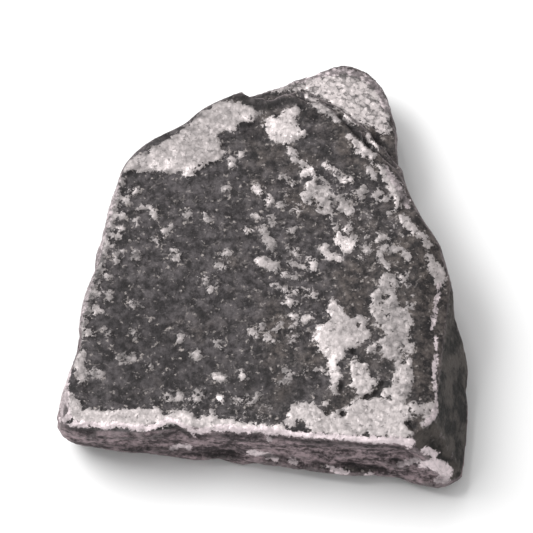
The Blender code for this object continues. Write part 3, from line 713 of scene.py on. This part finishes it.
COARSE_STROKES = {
    "lobe": (1.0, [(3.0, 17.3, 1.2), (7.5, 16.4, 2.6), (10.6, 13.0, 1.6)]),
}

# %% Paint the rims, the crevice shade and coarse skin
RIM_SLOPE = 1.3
RIM_MARGIN = 0.1
CREVICE_SHADE_SLOPE = 3.0
COARSE_SLOPE = 0.6


def painted(strokes, slope):
    """The largest amount that any of the strokes gives each point."""
    most = np.zeros(count)
    for amount, stroke in strokes:
        most = np.maximum(most, amount * softly(depth_in_stroke(stroke), slope))
    return most


pale = np.zeros(count)
for value, stroke in RIM_STROKES.values():
    depth = depth_in_stroke(stroke)
    pale = np.maximum(pale, softly(depth, RIM_SLOPE))
    paint_tone(depth + RIM_MARGIN, value)
marks = {
    "pale_rim": pale,
    "crevice_shade": painted([*CREVICE_SHADE_STROKES.values(), *CRACK_STROKES.values()], CREVICE_SHADE_SLOPE),
    "crack": painted(CRACK_STROKES.values(), CREVICE_SHADE_SLOPE),
    "granular": painted(COARSE_STROKES.values(), COARSE_SLOPE),
}
for name, values in marks.items():
    keep_on_points(name, np.where(hidden, 0, values))
keep_on_points("skin_tone", tone)

# %% [markdown]
# ## Relief
#
# The skin stands a tenth of a millimetre above the bare stone, the bare stone is uneven, and the broken edges
# are ribbed. Bump mapping would fake this in the render, but the mesh itself would stay smooth, so Geometry
# Nodes push each point along its normal by the sum of the patterns. Before they move anything, they also
# store what the material wants to know: which way each part of the stone faces, and where it is worn. A point
# that stands proud of the average of its neighbours is on a worn edge, and one that lies below it is in a
# hollow, where the material paints shade.


# %% Relief tree
relief = bpy.data.node_groups.new("slate_relief", "GeometryNodeTree")
relief.interface.new_socket("Geometry", in_out="INPUT", socket_type="NodeSocketGeometry")
relief.interface.new_socket("Geometry", in_out="OUTPUT", socket_type="NodeSocketGeometry")
relief_in = add(relief, "NodeGroupInput")
relief_out = add(relief, "NodeGroupOutput")
where = add(relief, "GeometryNodeInputPosition").outputs[0]
normal = add(relief, "GeometryNodeInputNormal").outputs[0]


def blurred(value, times):
    """The average of a vector over the neighbours, taken so many times."""
    made = add(relief, "GeometryNodeBlurAttribute", {"Iterations": times}, data_type="FLOAT_VECTOR")
    relief.links.new(value, made.inputs["Value"])
    return made.outputs["Value"]


def stored(geometry, name, value):
    """Keeps a number on each point, for the material to read."""
    inputs = {"Geometry": geometry, "Name": name}
    made = add(relief, "GeometryNodeStoreNamedAttribute", inputs, data_type="FLOAT")
    relief.links.new(value, made.inputs["Value"])
    return made.outputs["Geometry"]


def read(name):
    """A number that is kept on each point."""
    made = add(relief, "GeometryNodeInputNamedAttribute", {"Name": name}, data_type="FLOAT")
    return made.outputs["Attribute"]


print("tree for the relief:", relief.name)

# %% Facing and wear
FACET_WAYS = ((0.88, -0.08, 0.47), (0.65, -0.50, 0.57))
CALM_TIMES = 4
WORN_REACH = 14
WORN_DEPTH = 0.05 * MM

calm_normal = blurred(normal, CALM_TIMES)
bulge = vector_calc(relief, "SUBTRACT", {0: where, 1: blurred(where, WORN_REACH)})
facing_up = vector_calc(relief, "DOT_PRODUCT", {0: calm_normal, 1: (0, 0, 1)})
towards_facets = [vector_calc(relief, "DOT_PRODUCT", {0: calm_normal, 1: way}) for way in FACET_WAYS]
facing_facet = calc(relief, "MAXIMUM", *towards_facets)
proud = vector_calc(relief, "DOT_PRODUCT", {0: bulge, 1: calm_normal})
# worn is above zero on proud edges, which are rubbed pale, and below zero in hollows, where shade is painted.
worn = calc(relief, "DIVIDE", proud, WORN_DEPTH)
shape = stored(relief_in.outputs[0], "facing_up", facing_up)
shape = stored(shape, "facing_facet", facing_facet)
shape = stored(shape, "worn", worn)
print("facets face:", FACET_WAYS)

# %% Relief heights
SKIN_HEIGHT = 0.10 * MM
GRAIN_HEIGHT = 0.16 * MM
COARSE_HEIGHT = 0.22 * MM
CRUSHED_HEIGHT = 0.16 * MM
RIB_HEIGHT = 0.30 * MM
CRACK_DEPTH = 0.40 * MM
SKIN_EDGE = (0.42, 0.58)
GRAIN_ON_EDGES = 0.6

place = in_mm(relief, where)
flat, _, broken = face_masks(relief, facing_up, facing_facet)
skin = ease(relief, skin_pattern(relief, place, read("skin_bias")), *SKIN_EDGE)
grain = centred(relief, grain_pattern(relief, place))
coarse = centred(relief, cloud(relief, place, 1.8, detail=3.0, roughness=0.6))
ribs = centred(relief, layer_pattern(relief, place))
grain_share = plus_share(relief, GRAIN_ON_EDGES, flat, 1 - GRAIN_ON_EDGES)
rise = calc(relief, "MULTIPLY", calc(relief, "MULTIPLY", skin, flat), SKIN_HEIGHT)
for pattern, share, height in (
    (grain, grain_share, GRAIN_HEIGHT),
    (coarse, read("granular"), COARSE_HEIGHT),
    (coarse, read("pale_rim"), CRUSHED_HEIGHT),
    (ribs, broken, RIB_HEIGHT),
):
    rise = plus_share(relief, rise, calc(relief, "MULTIPLY", pattern, share), height)
rise = plus_share(relief, rise, read("crack"), -CRACK_DEPTH)
offset = scaled(relief, calm_normal, rise)
moved = add(relief, "GeometryNodeSetPosition", {"Geometry": shape, "Offset": offset})
relief.links.new(moved.outputs["Geometry"], relief_out.inputs[0])
print("relief nodes:", len(relief.nodes))

# %% Apply the relief
shaping = stone.modifiers.new("relief", "NODES")
shaping.node_group = relief
bpy.ops.object.modifier_apply(modifier=shaping.name)
after = np.empty(count * 3)
stone.data.vertices.foreach_get("co", after)
after = after.reshape(-1, 3)
# The relief may not push the stone into the floor that it rests on.
after[:, 2] = np.maximum(after[:, 2], 0)
stone.data.vertices.foreach_set("co", after.ravel())
stone.data.update()
print("relief in mm, along each axis:", np.round(np.ptp(after / MM - places, axis=0), 3))

# %% [markdown]
# ## The slate material
#
# One stone, one material. Masks decide between its finishes: dark split face, silver skin, broken layers,
# worn facet and pale worn rims. The silver is partly metallic in the shader, because mica mirrors light as
# metal does, and each flake lies at its own angle, so a few catch the lamp and glint.

# %% Material tree
SPECULAR = 0.25

slate = bpy.data.materials.new("metallic_slate")
slate.use_nodes = True
tree = slate.node_tree
shader = tree.nodes["Principled BSDF"]
shader.inputs["Specular IOR Level"].default_value = SPECULAR
place = in_mm(tree, add(tree, "ShaderNodeTexCoord").outputs["Object"])


def kept_value(name):
    """A number that the relief tree or the painting kept on the mesh."""
    return add(tree, "ShaderNodeAttribute", attribute_name=name).outputs["Fac"]


def mix_colour(factor, first, second):
    """The second colour over the first, by the factor."""
    made = add(tree, "ShaderNodeMix", {0: factor, 6: first, 7: second}, data_type="RGBA")
    return made.outputs[2]


print("material:", slate.name)

# %% Masks
SKIN_BORDER = (0.46, 0.54)

flat, facet, broken = face_masks(tree, kept_value("facing_up"), kept_value("facing_facet"))
skin_field = skin_pattern(tree, place, kept_value("skin_bias"))
skin = calc(tree, "MULTIPLY", ease(tree, skin_field, *SKIN_BORDER), flat)
lines = layer_pattern(tree, place)
granular = kept_value("granular")
worn = kept_value("worn")
painted_tone = kept_value("skin_tone")
print("nodes after the masks:", len(tree.nodes))

# %% [markdown]
# The bare stone is nearly black, with a paler mottle that turns browner to the right, thin scars, and flecks
# of mica that were too small to paint. Where a shade stroke lies, the mottle is weaker.

# %% Dark stone
DARK = (0.0150, 0.0128, 0.0134, 1)
DARK_PALE = (0.090, 0.080, 0.083, 1)
DARK_BROWN = (0.104, 0.087, 0.080, 1)
FLECK = (0.30, 0.268, 0.255, 1)
PALEST_BARE_TONE = 0.4
MOTTLE_LEAST = 0.55
MOTTLE_BY_TONE = 1.5
BROWN_PER_MM = 0.015
FLECKS_BY_BIAS = 0.10
SCAR_STRENGTH = 0.22

mottle = ease(tree, cloud(tree, place, 1.1, detail=6.0, roughness=0.72), 0.38, 0.68)
bare_tone = calc(tree, "MINIMUM", painted_tone, PALEST_BARE_TONE)
mottle = calc(tree, "MULTIPLY", mottle, plus_share(tree, MOTTLE_LEAST, bare_tone, MOTTLE_BY_TONE))
brown_cloud = cloud(tree, place, 0.25, detail=3.0, roughness=0.6)
brown_field = plus_share(tree, brown_cloud, part_of(tree, place, 0), BROWN_PER_MM)
dark_pale = mix_colour(ease(tree, brown_field, 0.45, 0.70), DARK_PALE, DARK_BROWN)
dark = mix_colour(mottle, DARK, dark_pale)
dark = mix_colour(calc(tree, "MULTIPLY", scar_pattern(tree, place), SCAR_STRENGTH), dark, FLECK)
fleck_cloud = cloud(tree, place, 2.3, detail=3.0, roughness=0.6)
fleck_field = plus_share(tree, fleck_cloud, kept_value("skin_bias"), FLECKS_BY_BIAS)
dark = mix_colour(ease(tree, fleck_field, 0.60, 0.76), dark, FLECK)
print("nodes after the dark stone:", len(tree.nodes))

# %% [markdown]
# The skin takes its brightness from the painted tone, clouded by noise, and by grains that are each a little
# lighter or darker and fade towards their borders. Coarse skin has more of both. Pits show the stone below.

# %% Silver skin
SILVER = (0.69, 0.626, 0.620, 1)
SILVER_DULL = (0.09, 0.082, 0.081, 1)
SILVER_PIT = (0.10, 0.090, 0.090, 1)
CLOUDING, CLOUDING_IF_COARSE = 0.75, 1.1
GRAINS, GRAINS_IF_COARSE = 0.24, 0.70
PITS_IF_COARSE = 0.04
PIT_STRENGTH = 0.7

clouding = centred(tree, cloud(tree, place, 1.5, detail=5.0, roughness=0.65))
clouding = calc(tree, "MULTIPLY", clouding, plus_share(tree, CLOUDING, granular, CLOUDING_IF_COARSE))
from_middle, grain_shade = cells(tree, drifting(tree, place, per_mm=2.5, reach=0.25), 2.4)
gritty = calc(tree, "SUBTRACT", part_of(tree, grain_shade, 2), from_middle)
gritty = calc(tree, "MULTIPLY", gritty, plus_share(tree, GRAINS, granular, GRAINS_IF_COARSE))
brightness = calc(tree, "ADD", painted_tone, calc(tree, "ADD", clouding, gritty), clamp=True)
silver = mix_colour(brightness, SILVER_DULL, SILVER)
pit_cloud = cloud(tree, place, 2.0, detail=3.0, roughness=0.6)
pits = ease(tree, plus_share(tree, pit_cloud, granular, PITS_IF_COARSE), 0.60, 0.67)
silver = mix_colour(calc(tree, "MULTIPLY", pits, PIT_STRENGTH), silver, SILVER_PIT)
print("nodes after the skin:", len(tree.nodes))

# %% [markdown]
# The break at the front is fresh and pinkish, and towards the back the broken edge is older and greyer. Its
# shades come from patches drawn out along the layers, the layers' own lines, and crumbs. The worn facets have
# no layers left to show, only slow olive clouds.

# %% Broken layers and worn facet
BREAK_DARK = (0.034, 0.0246, 0.0270, 1)
BREAK_PALE = (0.360, 0.280, 0.296, 1)
BREAK_OLD = (0.225, 0.190, 0.192, 1)
FACET_OLIVE = (0.0085, 0.0070, 0.0060, 1)
FACET_PALE = (0.074, 0.0635, 0.0570, 1)
LINE_SHARE, PATCH_SHARE, CRUMB_SHARE = 0.14, 0.48, 0.38
OLDER_FROM, OLD_FROM = -10.0, -2.0

patchy = cloud(tree, layered(tree, place, 0.55, 1.1), 1.0, detail=5.0, roughness=0.64)
crumbs = cloud(tree, place, 2.4, detail=4.0, roughness=0.7)
streaks = plus_share(tree, calc(tree, "MULTIPLY", lines, LINE_SHARE), patchy, PATCH_SHARE)
streaks = plus_share(tree, streaks, crumbs, CRUMB_SHARE)
to_the_back = part_of(tree, drifting(tree, place, per_mm=0.3, reach=8.0), 1)
break_pale = mix_colour(ease(tree, to_the_back, OLDER_FROM, OLD_FROM), BREAK_PALE, BREAK_OLD)
edge_colour = mix_colour(ease(tree, streaks, 0.43, 0.61), BREAK_DARK, break_pale)
facet_cloud = cloud(tree, place, 0.5, detail=6.0, roughness=0.66)
facet_colour = mix_colour(ease(tree, facet_cloud, 0.40, 0.60), FACET_OLIVE, FACET_PALE)
print("nodes after the edges:", len(tree.nodes))

# %% [markdown]
# The finishes are laid over each other in the order in which they came about: skin on stone, then the breaks,
# then the facets, then rubbed edges and crushed rims. Last comes painted shade in the hollows and crevices.

# %% Put the finishes together
RIM = (0.86, 0.745, 0.768, 1)
RIM_DULL = (0.15, 0.130, 0.133, 1)
EDGE_WEAR = (0.20, 0.172, 0.176, 1)
CREVICE_SHADE = (0.006, 0.0048, 0.0052, 1)
RUB_BY_NOISE, RUB_BY_WEAR, RUB_STRENGTH = 2.4, 0.28, 0.5
RIM_TORN, RIM_SHADED = 1.7, 1.2
HOLLOW_SHADE_STRENGTH = 0.75

colour = mix_colour(skin, dark, silver)
colour = mix_colour(broken, colour, edge_colour)
colour = mix_colour(facet, colour, facet_colour)
rub_cloud = cloud(tree, place, 1.9, detail=5.0, roughness=0.7)
rub_field = plus_share(tree, calc(tree, "MULTIPLY", worn, RUB_BY_WEAR), rub_cloud, RUB_BY_NOISE)
not_flat = calc(tree, "SUBTRACT", 1.0, flat)
rubbed = calc(tree, "MULTIPLY", ease(tree, rub_field, 1.45, 1.75), not_flat)
colour = mix_colour(calc(tree, "MULTIPLY", rubbed, RUB_STRENGTH), colour, EDGE_WEAR)
rim_noise = centred(tree, cloud(tree, place, 2.2, detail=5.0, roughness=0.72))
rim = ease(tree, plus_share(tree, kept_value("pale_rim"), rim_noise, RIM_TORN), 0.42, 0.60)
rim_brightness = calc(tree, "MULTIPLY_ADD", rim_noise, RIM_SHADED, brightness, clamp=True)
colour = mix_colour(rim, colour, mix_colour(rim_brightness, RIM_DULL, RIM))
# Painted shade: hollows and the crevice and crack strokes are darkened nearly to black, where shadow falls.
deep = ease(tree, worn, -0.7, -1.9, high=HOLLOW_SHADE_STRENGTH)
painted_shade = calc(tree, "MAXIMUM", deep, kept_value("crevice_shade"))
colour = mix_colour(painted_shade, colour, CREVICE_SHADE)
tree.links.new(colour, shader.inputs["Base Color"])
print("nodes after the colour:", len(tree.nodes))

# %% Shine
METAL, METAL_BY_BRIGHTNESS = 0.10, 0.45
ROUGHNESS, ROUGHNESS_BY_BRIGHTNESS, ROUGHNESS_BY_SKIN = 0.68, -0.06, -0.18

metal = calc(tree, "MULTIPLY", skin, plus_share(tree, METAL, brightness, METAL_BY_BRIGHTNESS))
# Where shade is painted, and in the pits, the skin has no metal.
outside_shade_and_pits = calc(tree, "SUBTRACT", 1.0, calc(tree, "MAXIMUM", painted_shade, pits))
tree.links.new(calc(tree, "MULTIPLY", metal, outside_shade_and_pits), shader.inputs["Metallic"])
rough = plus_share(tree, ROUGHNESS, brightness, ROUGHNESS_BY_BRIGHTNESS)
rough = plus_share(tree, rough, skin, ROUGHNESS_BY_SKIN)
tree.links.new(rough, shader.inputs["Roughness"])
print("roughness of bare stone:", ROUGHNESS)

# %% Fine bump and glints
GLINT_FROM = 0.88
LEAN, LEAN_OF_GLINTS = 0.10, 0.45
FINE_ON_STONE, LESS_ON_SKIN = 0.08, -0.04
BREAK_BUMP = 0.05
SKIN_BUMP = 0.03

_, flake_colour = cells(tree, place, 4.5)
_, glint_colour = cells(tree, place, 3.1)
flake_lean = vector_calc(tree, "SUBTRACT", {0: flake_colour, 1: (0.5, 0.5, 0.5)})
glints = calc(tree, "GREATER_THAN", part_of(tree, glint_colour, 1), GLINT_FROM)
lean_scale = plus_share(tree, LEAN, calc(tree, "MULTIPLY", glints, skin), LEAN_OF_GLINTS)
lean = scaled(tree, flake_lean, lean_scale)
face_normal = add(tree, "ShaderNodeNewGeometry").outputs["Normal"]
leaning = vector_calc(tree, "NORMALIZE", {0: vector_calc(tree, "ADD", {0: face_normal, 1: lean})})
fine = cloud(tree, place, 3.4, detail=3.0, roughness=0.55)
height = calc(tree, "MULTIPLY", fine, plus_share(tree, FINE_ON_STONE, skin, LESS_ON_SKIN))
break_share = calc(tree, "MULTIPLY", broken, BREAK_BUMP)
height = plus_share(tree, height, calc(tree, "ADD", lines, crumbs), break_share)
height = plus_share(tree, height, skin, SKIN_BUMP)
bump = add(tree, "ShaderNodeBump", {"Strength": 1.0, "Distance": MM, "Height": height, "Normal": leaning})
tree.links.new(bump.outputs["Normal"], shader.inputs["Normal"])
print("material nodes:", len(tree.nodes))

# %% [markdown]
# ## Put the stone in the frame
#
# The new stone stands for the CAD chip, which stays as the shape that collides. It rides on the part's one
# body.

# %% Hand the stone over
stone.data.materials.clear()
stone.data.materials.append(slate)
bpy.ops.object.shade_smooth()
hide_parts("slate_chip")
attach(stone, "root")
